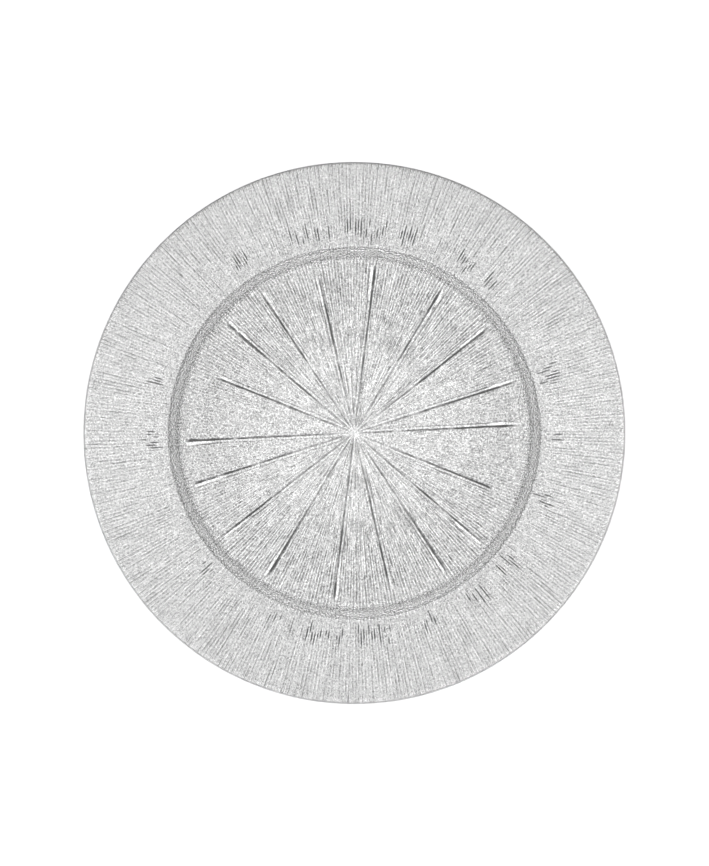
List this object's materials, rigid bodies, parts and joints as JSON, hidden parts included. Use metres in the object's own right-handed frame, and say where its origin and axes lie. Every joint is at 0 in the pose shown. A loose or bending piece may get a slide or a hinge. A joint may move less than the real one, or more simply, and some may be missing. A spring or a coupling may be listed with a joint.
{
  "type": "charger plate",
  "caption": "Round charger plate of slumped clear glass, silvered on its back, with a sunburst of rays in a shallow well and flutes on a wide, gently rising rim.",
  "frame": {"origin": "centre of the underside, on the surface that the plate stands on", "axes": "+Z up along the plate's axis, out of its face; +X to the right and +Y up in a view from above"},
  "size_m": [0.33, 0.33, 0.0182],
  "materials": {
    "glass": "clear, smooth face, ground edge",
    "silver": "bright silver with a fine grain, seen through the glass",
    "lacquer": "satin protective lacquer"
  },
  "bodies": {
    "root": {"glass_plate": "glass", "silver_coating": "silver", "backing_lacquer": "lacquer"}
  },
  "joints": []
}
